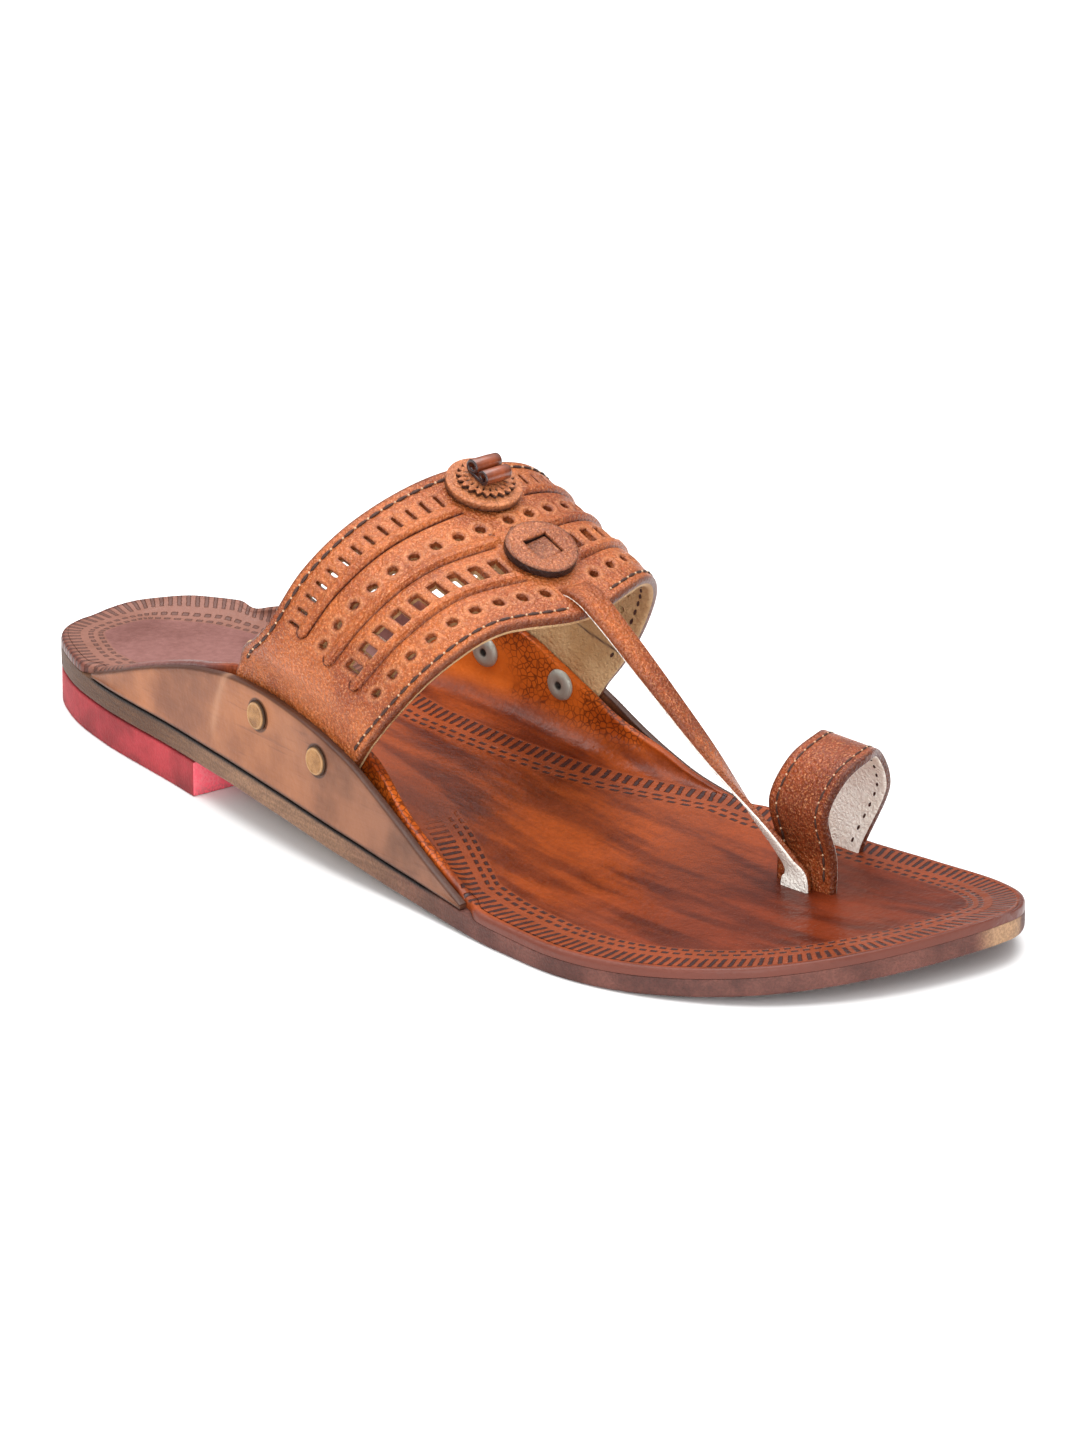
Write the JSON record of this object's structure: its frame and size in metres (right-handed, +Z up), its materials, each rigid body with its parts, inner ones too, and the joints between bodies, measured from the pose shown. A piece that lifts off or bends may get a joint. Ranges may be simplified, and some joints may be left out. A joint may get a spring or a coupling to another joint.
{
  "type": "kolhapuri toe-ring sandal",
  "caption": "Brown leather toe-ring sandal for the right foot, with a pierced instep band, two round buttons, side ears, a thin toe strap and a low red heel.",
  "frame": {"origin": "on the floor under the middle of the sandal's length and width", "axes": "+Y towards the toe, +Z up, +X towards the little toe"},
  "size_m": [0.0955, 0.2698, 0.0868],
  "materials": {
    "red_rubber": "matte",
    "sole_leather": "satin",
    "glazed_leather": "glossy",
    "tan_leather": "satin",
    "band_leather": "satin",
    "button_leather": "satin",
    "dark_leather": "satin",
    "brass": "satin"
  },
  "bodies": {
    "root": {"heel_block": "red_rubber", "outsole": "sole_leather", "footbed": "glazed_leather", "ear_outer_lateral": "tan_leather", "ear_outer_medial": "tan_leather", "upper": "band_leather", "toe_ring": "band_leather", "button_rear_disc": "button_leather", "button_rear_pinked_disc": "button_leather", "button_rear_roll": "dark_leather", "button_front_disc": "button_leather", "button_front_tab": "button_leather", "rivet_lateral_rear": "brass", "rivet_medial_rear": "brass", "rivet_lateral_front": "brass", "rivet_medial_front": "brass"}
  },
  "joints": []
}
